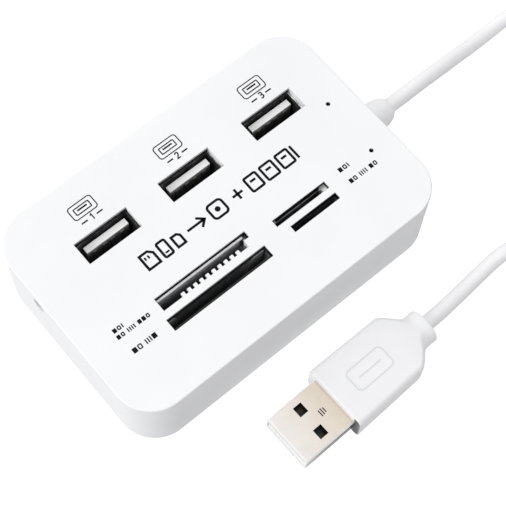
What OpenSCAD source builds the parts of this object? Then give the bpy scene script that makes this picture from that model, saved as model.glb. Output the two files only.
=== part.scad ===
// Desktop hub with three upright ports, four card slots and a short cord.
// Millimetres. Origin at the centre of the underside, +X towards the cord
// end, +Y towards the row of ports, +Z up.

/* [Body] */
// Length of the body along X
body_l = 80; // [79.6:0.1:80.6]
// Width of the body along Y
body_w = 51.8; // [51.4:0.1:52.4]
// Height of the body
body_h = 19; // [18.8:0.1:19.4]
// Radius of the four upright corners
corner_r = 8.5; // [7.5:0.1:9.5]
// Radius of the edge round the top
edge_r = 0.3; // [0.2:0.05:0.9]
// Thickness of the side walls
wall = 2; // [1.6:0.1:2.2]
// Thickness of the top plate
top_t = 1.7; // [1.4:0.1:1.9]
// Thickness of the bottom cover
cover_t = 1.6; // [1.4:0.1:1.8]

/* [Port windows] */
// Width of each port window
win_w = 13.3; // [13.2:0.1:13.5]
// Height of each port window
win_h = 5.5; // [5.4:0.1:5.7]
// Distance of the port windows from the middle of the body
win_y = 10.6; // [10.4:0.1:10.8]

/* [Card slots] */
// Width of the widest slot
slot_a_w = 25.4; // [25:0.1:25.6]
// Height of the widest slot
slot_a_h = 2.95; // [2.9:0.05:3]
// Width of the slot with the comb
slot_b_w = 23.35; // [23.2:0.05:23.5]
// Height of the slot with the comb
slot_b_h = 3.25; // [3.2:0.05:3.25]
// Number of teeth on the comb
comb_n = 10; // [8:1:10]
// Pitch of the teeth
comb_pitch = 1.57; // [1.5:0.01:1.58]
// Width of the upper small slot
slot_c_w = 14.1; // [14:0.05:14.2]
// Height of the upper small slot
slot_c_h = 1.75; // [1.7:0.05:1.8]
// Width of the lower small slot
slot_d_w = 12.15; // [12.1:0.05:12.2]
// Height of the lower small slot
slot_d_h = 1.65; // [1.65:0.05:1.7]

/* [Small holes] */
// Diameter of the indicator holes
led_hole_d = 1; // [0.9:0.05:1.2]
// Diameter of the hole for the low-voltage inlet
inlet_d = 3.2; // [3:0.1:3.2]

/* [Cord and plug] */
// Diameter of the cord
cord_d = 3.4; // [3.2:0.1:3.4]
// Width of the plug's metal shell
plug_w = 12; // [12:0.1:12]
// Height of the plug's metal shell
plug_h = 4.5; // [4.5:0.1:4.5]
// Length of the metal shell outside the overmould
plug_out = 13.1; // [12:0.1:13.2]

/* [Hidden] */

eps = 0.01;
$fn = 64;

win_x = [-20.6, 0.95, 23.2];       // centres of the port windows
slot_a = [-10.2, -12.62];           // centre of the widest slot
slot_b = [-10.33, -7.785];          // centre of the slot with the comb
slot_c = [14.17, -8.9];           // centre of the upper small slot
slot_d = [15.33, -12.17];          // centre of the lower small slot
b_lo = slot_b[1] - slot_b_h / 2; b_hi = slot_b[1] + slot_b_h / 2;
b_x0 = slot_b[0] - slot_b_w / 2; b_x1 = slot_b[0] + slot_b_w / 2;
b_end = -0.1;                      // where the deep part of slot b ends
tooth_w = 0.78; tooth_x = -17.15;  // the comb's teeth
led_at = [[33.8, 5.1], [33.6, -8.9]];
inlet_y = 8.5;
inlet_z = 15.6;
cord_y = -0.3;
cord_z = 9.5;

plate_z = body_h - top_t;          // underside of the top plate
in_l = body_l - 2 * wall;
in_w = body_w - 2 * wall;
in_r = corner_r - wall;
boss_at = [for (sx = [-1, 1], sy = [-1, 1]) [sx * 33.4, sy * 19.3]];
post_at = [for (sx = [-1, 1]) [sx * 27, 19.5]];
board_z = 2.3;
board_t = 1.2;
board_top = board_z + board_t;
mouth_z = plate_z - 0.05;          // mouths of the receptacles
port_ow = 13.1; port_oh = 5.7; port_s = 0.3;
port_iw = port_ow - 2 * port_s; port_ih = port_oh - 2 * port_s;
tongue_w = 10.6; tongue_y0 = 0.45; tongue_y1 = 1.93; tongue_dx = 0.15;
tongue_top = 16.4;
pin_x = [-3.5, -1, 1, 3.5];

plug_at = [-4.8, -42.5];           // middle of the overmould's front face
plug_turn = 1.5;
plug_z = 4;
mould_len = 25.8;

// middle of the coil and of its bundle of turns
coil_at = [86, -37];
coil_r = 19;
coil_wide = 7;
coil_high = 7.5;

// the cord from the strain relief to the coil
lead_out_pts = [
  [40, -0.3, 9.5], [44, -0.3, 9.5], [48, -0.3, 9.5], [51, -0.3, 9.45], [54, -0.2, 9.2], [57, 0, 8.7],
  [60, 0.2, 8], [63, 0.45, 7.1], [66, 0.75, 6.1], [69, 1.1, 5],
  [72, 1.4, 4], [75, 1.65, 3.1], [78, 1.9, 2.4], [81, 2.1, 1.9],
  [84, 2.25, 1.7], [87, 2.3, 1.7], [90, 2.05, 1.7], [93, 1.15, 1.7],
  [96, -0.55, 1.7], [99, -3.15, 1.7], [101.5, -6.4, 1.7], [103.4, -10.2, 1.7],
  [104.8, -14.4, 1.7], [105.8, -19, 1.7], [106.4, -24, 1.7], [106.7, -29, 1.7],
  [106.75, -34, 1.7]];

// the cord from the coil to the plug
lead_in_pts = [
  [84, -57.75, 5.2], [81, -57.6, 5.2], [78, -57.2, 5.1], [75, -56.4, 4.8],
  [72, -55.2, 4.2], [69, -53.6, 3.5], [66, -51.7, 2.7], [63, -49.5, 2.1],
  [60, -47.2, 1.8], [57, -44.9, 1.7], [54, -42.8, 1.7], [51, -41.2, 1.7],
  [48, -40.3, 1.7], [45, -40.05, 1.7], [42, -40.1, 1.7], [39, -40.35, 1.7],
  [36, -40.6, 1.75], [33, -40.9, 2], [30, -41.2, 2.5], [27, -41.5, 3.1],
  [24.5, -41.72, 3.75], [22, -41.79, 4], [21, -41.82, 4]];

// ---------- helpers ----------

module rrect(l, w, r) {
  square([l - 2 * r, w], center = true);
  square([l, w - 2 * r], center = true);
  for (sx = [-1, 1], sy = [-1, 1])
    translate([sx * (l / 2 - r), sy * (w / 2 - r)]) circle(r);
}

// side view of a block whose two upper edges are rounded
module crown(w, h, r) {
  translate([-w / 2, 0]) square([w, h - r]);
  translate([-w / 2 + r, 0]) square([w - 2 * r, h]);
  for (s = [-1, 1]) translate([s * (w / 2 - r), h - r]) circle(r);
}

module crowned_block(l, w, h, cr, r) {
  for (sx = [-1, 1], sy = [-1, 1])
    translate([sx * (l / 2 - cr), sy * (w / 2 - cr), 0])
      rotate_extrude() {
        square([cr, h - r]);
        square([cr - r, h]);
        translate([cr - r, h - r]) intersection() {
          circle(r);
          square([r, r]);
        }
      }
  translate([-(l / 2 - cr), 0, 0]) rotate([90, 0, 90])
    linear_extrude(l - 2 * cr) crown(w, h, r);
  translate([0, w / 2 - cr, 0]) rotate([90, 0, 0])
    linear_extrude(w - 2 * cr) crown(l, h, r);
}

module box(x0, x1, y0, y1, z0, z1)
  translate([x0, y0, z0]) cube([x1 - x0, y1 - y0, z1 - z0]);

function unit(v) = v / norm(v);
function dir(p, i) = unit(p[min(i + 1, len(p) - 1)] - p[max(i - 1, 0)]);

// a round tube with n sides whose rings stand at the points p
module swept(p, d, n = 8) {
  rings = [for (i = [0 : len(p) - 1]) let (t = dir(p, i), u = unit(cross(t, [0, 0, 1])), v = cross(u, t))
    for (k = [0 : n - 1]) p[i] + d / 2 * (cos(360 * (k + 0.5) / n) * u + sin(360 * (k + 0.5) / n) * v)];
  m = len(p);
  polyhedron(points = rings, faces = concat(
    [[for (k = [0 : n - 1]) k]],
    [[for (k = [0 : n - 1]) (m - 1) * n + n - 1 - k]],
    [for (i = [0 : m - 2], k = [0 : n - 1])
      [i * n + k, (i + 1) * n + k, (i + 1) * n + (k + 1) % n, i * n + (k + 1) % n]]));
}

// ---------- case ----------

module top_shell() color([0.96, 0.965, 0.975]) union() {
  // comb along the lower edge of the second slot
  for (i = [0 : comb_n - 1]) translate([tooth_x + i * comb_pitch, 0, 0])
    box(0, tooth_w, b_lo - 0.3, b_lo + 0.8, body_h - 0.8, body_h);
  shell_body();
}

module shell_body() difference() {
  union() {
    difference() {
      crowned_block(body_l, body_w, body_h, corner_r, edge_r);
      translate([0, 0, -1]) linear_extrude(plate_z + 1) rrect(in_l, in_w, in_r);
    }
    // screw bosses
    for (b = boss_at) translate([b[0], b[1], cover_t])
      cylinder(d = 5.6, h = plate_z - cover_t + 0.3);
    // ribs that hold the board down
    for (s = [-1, 1]) box(s > 0 ? in_l / 2 - 1.2 : -in_l / 2 - 0.3,
      s > 0 ? in_l / 2 + 0.3 : -in_l / 2 + 1.2, -9, -7.8, board_top, plate_z + 0.3);
  }
  for (b = boss_at) translate([b[0], b[1], cover_t - 1]) cylinder(d = 2, h = 8);
  for (x = win_x) box(x - win_w / 2, x + win_w / 2, win_y - win_h / 2, win_y + win_h / 2, plate_z - 1, body_h + 1);
  translate([slot_a[0], slot_a[1], body_h]) cube([slot_a_w, slot_a_h, 2 * top_t + 1], center = true);
  box(b_x0, b_end, b_lo, b_hi, plate_z - 1, body_h + 1);
  box(b_end - 0.1, b_x1, -7.8, b_hi, plate_z - 1, body_h + 1);
  translate([slot_c[0], slot_c[1], body_h]) cube([slot_c_w, slot_c_h, 2 * top_t + 1], center = true);
  translate([slot_d[0], slot_d[1], body_h]) cube([slot_d_w, slot_d_h, 2 * top_t + 1], center = true);
  for (l = led_at) translate([l[0], l[1], plate_z - 1]) cylinder(d = led_hole_d, h = top_t + 2);
  translate([-body_l / 2 - 1, inlet_y, inlet_z]) rotate([0, 90, 0]) cylinder(d = inlet_d, h = wall + 2);
  translate([body_l / 2 - wall - 1, cord_y, cord_z]) rotate([0, 90, 0]) cylinder(d = 5.4, h = wall + 2);
}

module bottom_cover() color([0.95, 0.955, 0.965]) difference() {
  union() {
    linear_extrude(cover_t) rrect(in_l - 0.2, in_w - 0.2, in_r - 0.1);
    for (p = post_at) translate([p[0], p[1], cover_t - 0.2]) cylinder(d = 3, h = board_z - cover_t + 0.2);
    for (s = [-1, 1]) translate([s * 28, -19.5, cover_t - 0.2]) cylinder(d = 3, h = board_z - cover_t + 0.2);
  }
  for (b = boss_at) translate([b[0], b[1], -1]) {
    cylinder(d = 2.3, h = cover_t + 2);
    cylinder(d = 4.2, h = 1.9);
  }
}

module case_screws() color([0.72, 0.73, 0.75]) for (b = boss_at) translate([b[0], b[1], 0]) difference() {
  union() {
    translate([0, 0, 0.1]) cylinder(d = 3.8, h = 0.8);
    translate([0, 0, 0.8]) cylinder(d = 2, h = 6.4);
  }
  translate([0, 0, 0.2]) {
    cube([2.2, 0.5, 0.8], center = true);
    cube([0.5, 2.2, 0.8], center = true);
  }
}

// ---------- board ----------

module circuit_board() color([0.08, 0.32, 0.2]) difference() {
  translate([0, 0, board_z]) linear_extrude(board_t) difference() {
    rrect(74, 45.6, 5);
    for (b = boss_at) translate(b) circle(3.3);
  }
  for (x = win_x) translate([x, win_y, 0]) {
    for (p = pin_x) translate([p + tongue_dx, tongue_y0 - 0.1, board_z + board_t / 2]) cube([1.1, 0.3, board_t + 1], center = true);
    for (s = [-1, 1]) translate([s * (port_ow / 2 - port_s / 2), 0, board_z + board_t / 2]) cube([0.4, 1.6, board_t + 1], center = true);
  }
  for (l = led_at, s = [-1, 1]) translate([l[0] + s * 1.27, l[1], board_z - 1]) cylinder(d = 0.6, h = board_t + 2);
}

module hub_chip() color([0.1, 0.1, 0.11]) translate([-9, 1.5, board_top]) {
  translate([0, 0, 0.7]) cube([7, 7, 1.2], center = true);
  for (a = [0 : 90 : 270], i = [-5 : 5]) rotate(a)
    translate([3.4, i * 0.5 - 0.11, 0]) { cube([1.1, 0.22, 0.15]); cube([0.35, 0.22, 0.7]); }
}

module card_chip() color([0.1, 0.1, 0.11]) translate([10, 1.2, board_top]) {
  translate([0, 0, 0.9]) cube([10, 4, 1.5], center = true);
  for (s = [0, 180], i = [-5 : 5]) rotate(s)
    translate([i * 0.8 - 0.18, 1.9, 0]) { cube([0.36, 1.2, 0.18]); cube([0.36, 0.35, 0.9]); }
}

module crystal_can() color([0.78, 0.79, 0.8]) translate([0.6, 1.4, board_top]) rotate(90) {
  linear_extrude(0.5) rrect(10.6, 4.2, 2);
  linear_extrude(3.3) rrect(9.8, 3.5, 1.7);
}

module can_capacitor() color([0.7, 0.71, 0.73]) translate([-30, -3, board_top]) {
  translate([-2.6, -2.6, 0]) cube([5.2, 5.2, 0.7]);
  cylinder(d = 5, h = 5.6);
}

module chip_parts() color([0.42, 0.33, 0.24]) for (p = [[-16, 4], [-16, 1.5], [-16, -1], [-21, 3], [-21, 0], [-26, 2], [18, 3.5], [18, 1], [30, -2], [30, 2]])
  translate([p[0], p[1], board_top]) box(-1, 1, -0.6, 0.6, 0, 0.55);

// ---------- port receptacles ----------

module port_shell(x) color([0.3, 0.3, 0.31]) translate([x, win_y, 0]) {
  difference() {
    translate([0, 0, board_top]) linear_extrude(mouth_z - board_top) square([port_ow, port_oh], center = true);
    translate([0, 0, board_top - 1]) linear_extrude(20) square([port_iw, port_ih], center = true);
    // windows that free the spring leaves
    for (s = [-1, 1]) translate([s * 2.9, 0, 12]) cube([2.4, 9, 5.6], center = true);
  }
  // spring leaves, bent inwards
  for (s = [-1, 1], q = [-1, 1]) translate([s * 2.9 - 0.8, 0, 0]) rotate([90, 0, 90]) linear_extrude(1.6)
    polygon([[q * 2.85, 9.2], [q * 2.55, 9.2], [q * 2.2, 12.2], [q * 2.3, 13.8], [q * 2.45, 13.8], [q * 2.35, 12.2], [q * 2.85, 9.4]]);
  // legs through the board
  for (s = [-1, 1]) translate([s * (port_ow / 2 - port_s / 2), 0, 2.75]) cube([port_s, 1.5, 1.9], center = true);
}

module port_tongue(x) color([0.93, 0.93, 0.92]) translate([x, win_y, 0]) difference() {
  union() {
    box(-port_iw / 2, port_iw / 2, -port_ih / 2, port_ih / 2, board_top, 6.5);
    box(tongue_dx - tongue_w / 2, tongue_dx + tongue_w / 2, tongue_y0, tongue_y1, 6, tongue_top);
  }
  for (p = pin_x) box(tongue_dx + p - 0.5, tongue_dx + p + 0.5, tongue_y0 - 0.2, tongue_y0, board_top - 1, 7);
}

module port_contacts(x) color([0.86, 0.7, 0.35]) translate([x, win_y, 0])
  for (p = pin_x) box(tongue_dx + p - 0.5, tongue_dx + p + 0.5, tongue_y0 - 0.2, tongue_y0, 1.8, 15.4);

// ---------- card sockets ----------

hx0 = -23.8; hx1 = 3.4; hy0 = -15; hy1 = -5.4;

module card_housing() color([0.06, 0.06, 0.07]) difference() {
  box(hx0, hx1, hy0, hy1, board_top, mouth_z);
  // pocket for the wide card
  box(slot_a[0] - 12.6, slot_a[0] + 12.6, slot_a[1] - 1.4, slot_a[1] + 1.4, 5, 20);
  // pocket for the narrow card
  box(b_x0 + 0.1, b_end, b_lo + 0.05, b_hi + 0.05, 5, 20);
  // shallow notch at its end
  box(b_end - 0.1, b_x1 - 0.1, -7.7, b_hi + 0.05, 12, 20);
}

// sheet-metal linings, which stand up into the windows of the shell
module card_shield() color([0.75, 0.76, 0.78]) {
  box(b_x0 + 0.25, b_end - 0.15, b_hi - 0.51, b_hi - 0.35, 5.2, 18.3);
  difference() {
    box(slot_a[0] - 12.4, slot_a[0] + 12.4, slot_a[1] - 0.98, slot_a[1] - 0.82, 5.2, 18.2);
    for (i = [-4 : 4]) translate([slot_a[0] + i * 2.5, slot_a[1] - 0.9, 8.2]) cube([1.2, 1, 8.2], center = true);
  }
  // rests for the card's two corners, on the far side
  translate([slot_a[0], slot_a[1] + 1.38, 0]) rotate([90, 0, 0]) linear_extrude(0.14) {
    polygon([[9.7, 17.2], [12.4, 17.2], [12.4, 8.5], [6.9, 8.5]]);
    polygon([[-12.4, 17.2], [-10.9, 17.2], [-9.6, 14.6], [-9.9, 12], [-12.4, 12]]);
  }
}

module card_contacts() color([0.86, 0.7, 0.35]) {
  for (i = [-4 : 4]) translate([slot_a[0] + i * 2.5, 0, 0])
    box(-0.35, 0.35, slot_a[1] - 0.95, slot_a[1] - 0.6, 5, 11.5);
  for (i = [0 : 9]) translate([tooth_x + 1.2 + i * comb_pitch, 0, 0])
    box(-0.3, 0.3, b_lo + 0.05, b_lo + 0.3, 5, 12.5);
}

c_x0 = slot_c[0] - slot_c_w / 2; c_x1 = slot_c[0] + slot_c_w / 2;
c_lo = slot_c[1] - slot_c_h / 2; c_hi = slot_c[1] + slot_c_h / 2;
d_x0 = slot_d[0] - slot_d_w / 2; d_x1 = slot_d[0] + slot_d_w / 2;

module small_card_housing() color([0.06, 0.06, 0.07]) difference() {
  box(6, 22.6, -14.2, -7.3, board_top, mouth_z);
  box(c_x0 + 0.1, c_x1 - 0.1, c_lo + 0.05, c_hi + 0.05, 5, 20);
  box(d_x0 + 0.1, d_x1 - 0.1, slot_d[1] - 0.7, slot_d[1] + 0.75, 5, 20);
}

// linings with a tab at either end of the upper window
module small_card_shield() color([0.75, 0.76, 0.78]) {
  box(c_x0 + 0.7, c_x1 - 1.4, slot_c[1] + 0.23, slot_c[1] + 0.37, 5.2, 18.2);
  box(c_x1 - 1.4, c_x1 - 0.25, c_lo + 0.1, c_hi - 0.1, 16.4, 18.4);
  box(c_x0 + 0.12, c_x0 + 0.7, slot_c[1] + 0.05, c_hi - 0.1, 16.4, 18.4);
  box(d_x0 + 0.3, d_x1 - 0.3, slot_d[1] - 0.68, slot_d[1] - 0.55, 5.2, 15.5);
}

module small_card_contacts() color([0.86, 0.7, 0.35]) {
  for (i = [0 : 7]) translate([d_x0 + 1.8 + i * 1.1, 0, 0]) box(-0.25, 0.25, slot_d[1] - 0.55, slot_d[1] - 0.35, 5, 11);
  for (i = [0 : 9]) translate([c_x0 + 1.8 + i * 1.05, 0, 0]) box(-0.2, 0.2, c_lo + 0.05, c_lo + 0.25, 5, 11);
}

// ---------- indicators and inlet ----------

module indicator(l) color([0.75, 0.8, 0.85]) translate([l[0], l[1], 0]) {
  translate([0, 0, 8]) cylinder(d = 3.8, h = 0.9);
  translate([0, 0, 8.5]) cylinder(d = 3, h = 4);
  translate([0, 0, 12.5]) intersection() {
    sphere(d = 3);
    cylinder(d = 4, h = 3);
  }
}

module indicator_leads() color([0.8, 0.8, 0.81]) for (l = led_at, s = [-1, 1])
  translate([l[0] + s * 1.27, l[1], 1.8]) cylinder(d = 0.5, h = 6.2);

module inlet_block() color([0.09, 0.09, 0.1]) difference() {
  box(-in_l / 2 + 0.1, -27.5, inlet_y - 3, inlet_y + 3, board_top, plate_z - 0.05);
  translate([-in_l / 2 - 1, inlet_y, inlet_z]) rotate([0, 90, 0]) cylinder(d = inlet_d - 0.2, h = 9);
}

module inlet_pin() color([0.8, 0.8, 0.81])
  translate([-37, inlet_y, inlet_z]) rotate([0, 90, 0]) cylinder(d = 1, h = 7);

// ---------- cord ----------

// thick at the case, with a rounded shoulder and a flat end round the cord
flare = [[3.35, 4.4], [3.22, 5.2], [3.06, 5.9], [2.88, 6.4], [2.66, 6.8], [2.4, 7.15], [2.15, 7.4], [2.05, 7.5]];

module strain_relief() color([0.95, 0.955, 0.965]) translate([body_l / 2, cord_y, cord_z]) rotate([0, 90, 0]) difference() {
  union() {
    translate([0, 0, -wall - 1.4]) cylinder(d = 8, h = 1.4);
    translate([0, 0, -wall - 0.5]) cylinder(d = 5.4, h = wall + 1);
    rotate_extrude() polygon(concat([[0, 0], [3.6, 0], [3.45, 4.1]], flare, [[0, 7.5]]));
  }
  translate([0, 0, -8]) cylinder(d = cord_d, h = 20);
}

module cord_inner_end() color([0.95, 0.955, 0.965])
  translate([30, cord_y, cord_z]) rotate([0, 90, 0]) cylinder(d = cord_d, h = 10);

// a wire runs back from the cord's end and turns down to the board
module inner_wire(i, c) color(c) let (y = [-1.1, -0.4, 0.4, 1.1][i], z = [0.5, -0.7, 0.7, -0.5][i], x = [26.6, 27.8, 26.6, 27.8][i]) {
  translate([x, cord_y + y, cord_z + z]) rotate([0, 90, 0]) cylinder(d = 0.8, h = 30 - x);
  translate([x, cord_y + y, board_top]) cylinder(d = 0.9, h = cord_z + z - board_top + 0.45);
}

module coil_ring() translate([coil_at[0], coil_at[1], 0]) rotate_extrude($fn = 96)
  translate([coil_r, coil_high / 2]) rrect(coil_wide, coil_high, 1.6);

module cord_coil() color([0.95, 0.955, 0.965]) coil_ring();

module cord_lead_out() color([0.95, 0.955, 0.965]) difference() {
  swept(lead_out_pts, cord_d);
  coil_ring();
}

module cord_lead_in() color([0.95, 0.955, 0.965]) difference() {
  swept(lead_in_pts, cord_d);
  coil_ring();
}

// ---------- plug ----------

module at_plug() translate([plug_at[0], plug_at[1], plug_z]) rotate(plug_turn) children();

module plug_overmould() color([0.94, 0.945, 0.95]) at_plug() difference() {
  union() {
    intersection() {
      translate([0, 0, -5]) linear_extrude(10) polygon([[0, -7.7], [18.2, -7.3], [18.9, -7.05], [21.9, -4.3], [22.7, -3.9],
        [22.7, 3.9], [21.9, 4.3], [18.9, 7.05], [18.2, 7.3], [0, 7.7]]);
      rotate([90, 0, 90]) linear_extrude(24) rrect(15.4, 8, 1.6);
    }
    translate([21, 0, 0]) rotate([0, 90, 0]) cylinder(d = 8, h = mould_len - 21);
  }
  box(-1, 3, -plug_w / 2, plug_w / 2, -plug_h / 2, plug_h / 2);
}

module plug_shell() color([0.86, 0.85, 0.82]) at_plug() difference() {
  box(-plug_out, 3, -plug_w / 2, plug_w / 2, -plug_h / 2, plug_h / 2);
  box(-plug_out - 1, 4, -plug_w / 2 + 0.3, plug_w / 2 - 0.3, -plug_h / 2 + 0.3, plug_h / 2 - 0.3);
  for (s = [-1, 1]) translate([-plug_out + 6.6, s * 3.02, 0]) cube([2.1, 2.4, 10], center = true);
}

module plug_insulator() color([0.12, 0.12, 0.13]) at_plug() {
  box(-plug_out + 0.4, 3, -plug_w / 2 + 0.3, plug_w / 2 - 0.3, -plug_h / 2 + 0.3, -0.05);
  box(-0.5, 3, -plug_w / 2 + 0.3, plug_w / 2 - 0.3, -0.1, plug_h / 2 - 0.3);
}

module plug_contacts() color([0.86, 0.7, 0.35]) at_plug()
  for (p = pin_x) box(-plug_out + (abs(p) > 2 ? 1 : 2), -0.5, p - 0.5, p + 0.5, -0.05, 0.1);

// ---------- output ----------

top_shell();
bottom_cover();
case_screws();
circuit_board();
port_shell(win_x[0]);  // port_shell_1
port_shell(win_x[1]);  // port_shell_2
port_shell(win_x[2]);  // port_shell_3
port_tongue(win_x[0]);  // port_tongue_1
port_tongue(win_x[1]);  // port_tongue_2
port_tongue(win_x[2]);  // port_tongue_3
port_contacts(win_x[0]);  // port_contacts_1
port_contacts(win_x[1]);  // port_contacts_2
port_contacts(win_x[2]);  // port_contacts_3
card_housing();
card_shield();
card_contacts();
small_card_housing();
small_card_shield();
small_card_contacts();
indicator(led_at[0]);  // indicator_a
indicator(led_at[1]);  // indicator_b
indicator_leads();
inlet_block();
inlet_pin();
hub_chip();
card_chip();
crystal_can();
can_capacitor();
chip_parts();
strain_relief();
cord_inner_end();
inner_wire(0, [0.75, 0.1, 0.1]);  // wire_1
inner_wire(1, [0.92, 0.92, 0.9]);  // wire_2
inner_wire(2, [0.1, 0.5, 0.2]);  // wire_3
inner_wire(3, [0.08, 0.08, 0.08]);  // wire_4
cord_lead_out();
cord_coil();
cord_lead_in();
plug_overmould();
plug_shell();
plug_insulator();
plug_contacts();
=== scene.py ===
import bpy
import bmesh
import math
from mathutils import Matrix, Vector


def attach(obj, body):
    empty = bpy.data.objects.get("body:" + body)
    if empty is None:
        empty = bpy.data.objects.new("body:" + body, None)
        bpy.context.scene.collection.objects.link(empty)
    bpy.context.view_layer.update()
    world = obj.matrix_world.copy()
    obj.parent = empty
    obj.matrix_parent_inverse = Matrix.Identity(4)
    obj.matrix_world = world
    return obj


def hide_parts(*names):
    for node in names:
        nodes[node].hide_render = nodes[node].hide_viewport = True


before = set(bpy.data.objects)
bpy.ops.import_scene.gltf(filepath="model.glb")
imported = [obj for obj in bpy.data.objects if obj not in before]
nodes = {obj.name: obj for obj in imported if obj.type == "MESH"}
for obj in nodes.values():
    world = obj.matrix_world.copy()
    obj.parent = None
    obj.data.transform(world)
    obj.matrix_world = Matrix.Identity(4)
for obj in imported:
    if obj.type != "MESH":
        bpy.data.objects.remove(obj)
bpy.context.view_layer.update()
scene = bpy.context.scene
MM = 0.001


def mm(*p):
    return Vector(p) * MM


def link(obj):
    scene.collection.objects.link(obj)
    return obj


# ---------------------------------------------------------------- camera

cam_data = bpy.data.cameras.new("camera")
cam_data.sensor_width = 36.0
cam_data.sensor_fit = "HORIZONTAL"
cam_data.lens = 101.83
cam_data.clip_start = 0.01
cam_data.clip_end = 20.0
cam = link(bpy.data.objects.new("camera", cam_data))
right = Vector((0.76699, -0.64128, 0.02194))
down = Vector((-0.58562, -0.71357, -0.38455))
ahead = Vector((0.26226, 0.28210, -0.92284))
m = Matrix.Identity(4)
for i in range(3):
    m[i][0], m[i][1], m[i][2] = right[i], -down[i], -ahead[i]
m.translation = mm(-76.181, -92.574, 285.756)
cam.matrix_world = m
scene.camera = cam

# ---------------------------------------------------------------- node helpers


def new_material(name):
    mat = bpy.data.materials.new(name)
    mat.use_nodes = True
    nt = mat.node_tree
    bsdf = nt.nodes.get("Principled BSDF")
    return mat, nt, bsdf


def add(nt, kind, **values):
    n = nt.nodes.new(kind)
    for k, v in values.items():
        if k.startswith("in_"):
            n.inputs[k[3:].replace("_", " ")].default_value = v
        else:
            setattr(n, k, v)
    return n


def ramp(nt, fac, stops):
    r = nt.nodes.new("ShaderNodeValToRGB")
    e = r.color_ramp.elements
    while len(e) > 1:
        e.remove(e[-1])
    e[0].position = stops[0][0]
    e[0].color = (*stops[0][1], 1)
    for pos, col in stops[1:]:
        x = e.new(pos)
        x.color = (*col, 1)
    nt.links.new(fac, r.inputs["Fac"])
    return r


def moulded(name, low, high, rough=(0.36, 0.46), grain=9000, bump=0.05, spec=0.5, coat=0.0, cloud=45.0, span=(0.3, 0.7)):
    """Moulded plastic: a fine grain, faint cloudiness of tone and of gloss."""
    mat, nt, b = new_material(name)
    co = nt.nodes.new("ShaderNodeTexCoord")
    cloud = add(nt, "ShaderNodeTexNoise", in_Scale=cloud, in_Detail=4.0, in_Roughness=0.55)
    nt.links.new(co.outputs["Object"], cloud.inputs["Vector"])
    c = ramp(nt, cloud.outputs["Fac"], [(span[0], low), (span[1], high)])
    nt.links.new(c.outputs["Color"], b.inputs["Base Color"])
    g = add(nt, "ShaderNodeTexNoise", in_Scale=float(grain), in_Detail=2.0)
    nt.links.new(co.outputs["Object"], g.inputs["Vector"])
    mr = add(nt, "ShaderNodeMapRange")
    mr.inputs["To Min"].default_value = rough[0]
    mr.inputs["To Max"].default_value = rough[1]
    nt.links.new(cloud.outputs["Fac"], mr.inputs["Value"])
    nt.links.new(mr.outputs["Result"], b.inputs["Roughness"])
    bp = add(nt, "ShaderNodeBump", in_Strength=bump, in_Distance=0.00005)
    nt.links.new(g.outputs["Fac"], bp.inputs["Height"])
    nt.links.new(bp.outputs["Normal"], b.inputs["Normal"])
    b.inputs["Specular IOR Level"].default_value = spec
    b.inputs["Coat Weight"].default_value = coat
    return mat


def sheet_metal(name, low, high, rough=(0.18, 0.34), scale=(60.0, 900.0, 900.0), bump=0.06, stain=260.0):
    """Plated sheet: fine rolling lines along one way and soft stains."""
    mat, nt, b = new_material(name)
    co = nt.nodes.new("ShaderNodeTexCoord")
    mp = add(nt, "ShaderNodeMapping")
    mp.inputs["Scale"].default_value = scale
    nt.links.new(co.outputs["Object"], mp.inputs["Vector"])
    lines = add(nt, "ShaderNodeTexNoise", in_Scale=1.0, in_Detail=5.0, in_Roughness=0.6)
    nt.links.new(mp.outputs["Vector"], lines.inputs["Vector"])
    cloud = add(nt, "ShaderNodeTexNoise", in_Scale=stain, in_Detail=3.0)
    nt.links.new(co.outputs["Object"], cloud.inputs["Vector"])
    c = ramp(nt, cloud.outputs["Fac"], [(0.3, low), (0.7, high)])
    nt.links.new(c.outputs["Color"], b.inputs["Base Color"])
    b.inputs["Metallic"].default_value = 1.0
    mr = add(nt, "ShaderNodeMapRange")
    mr.inputs["To Min"].default_value = rough[0]
    mr.inputs["To Max"].default_value = rough[1]
    nt.links.new(lines.outputs["Fac"], mr.inputs["Value"])
    nt.links.new(mr.outputs["Result"], b.inputs["Roughness"])
    bp = add(nt, "ShaderNodeBump", in_Strength=bump, in_Distance=0.00003)
    nt.links.new(lines.outputs["Fac"], bp.inputs["Height"])
    nt.links.new(bp.outputs["Normal"], b.inputs["Normal"])
    return mat


def assign(obj, mat):
    obj.data.materials.clear()
    obj.data.materials.append(mat)


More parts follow.
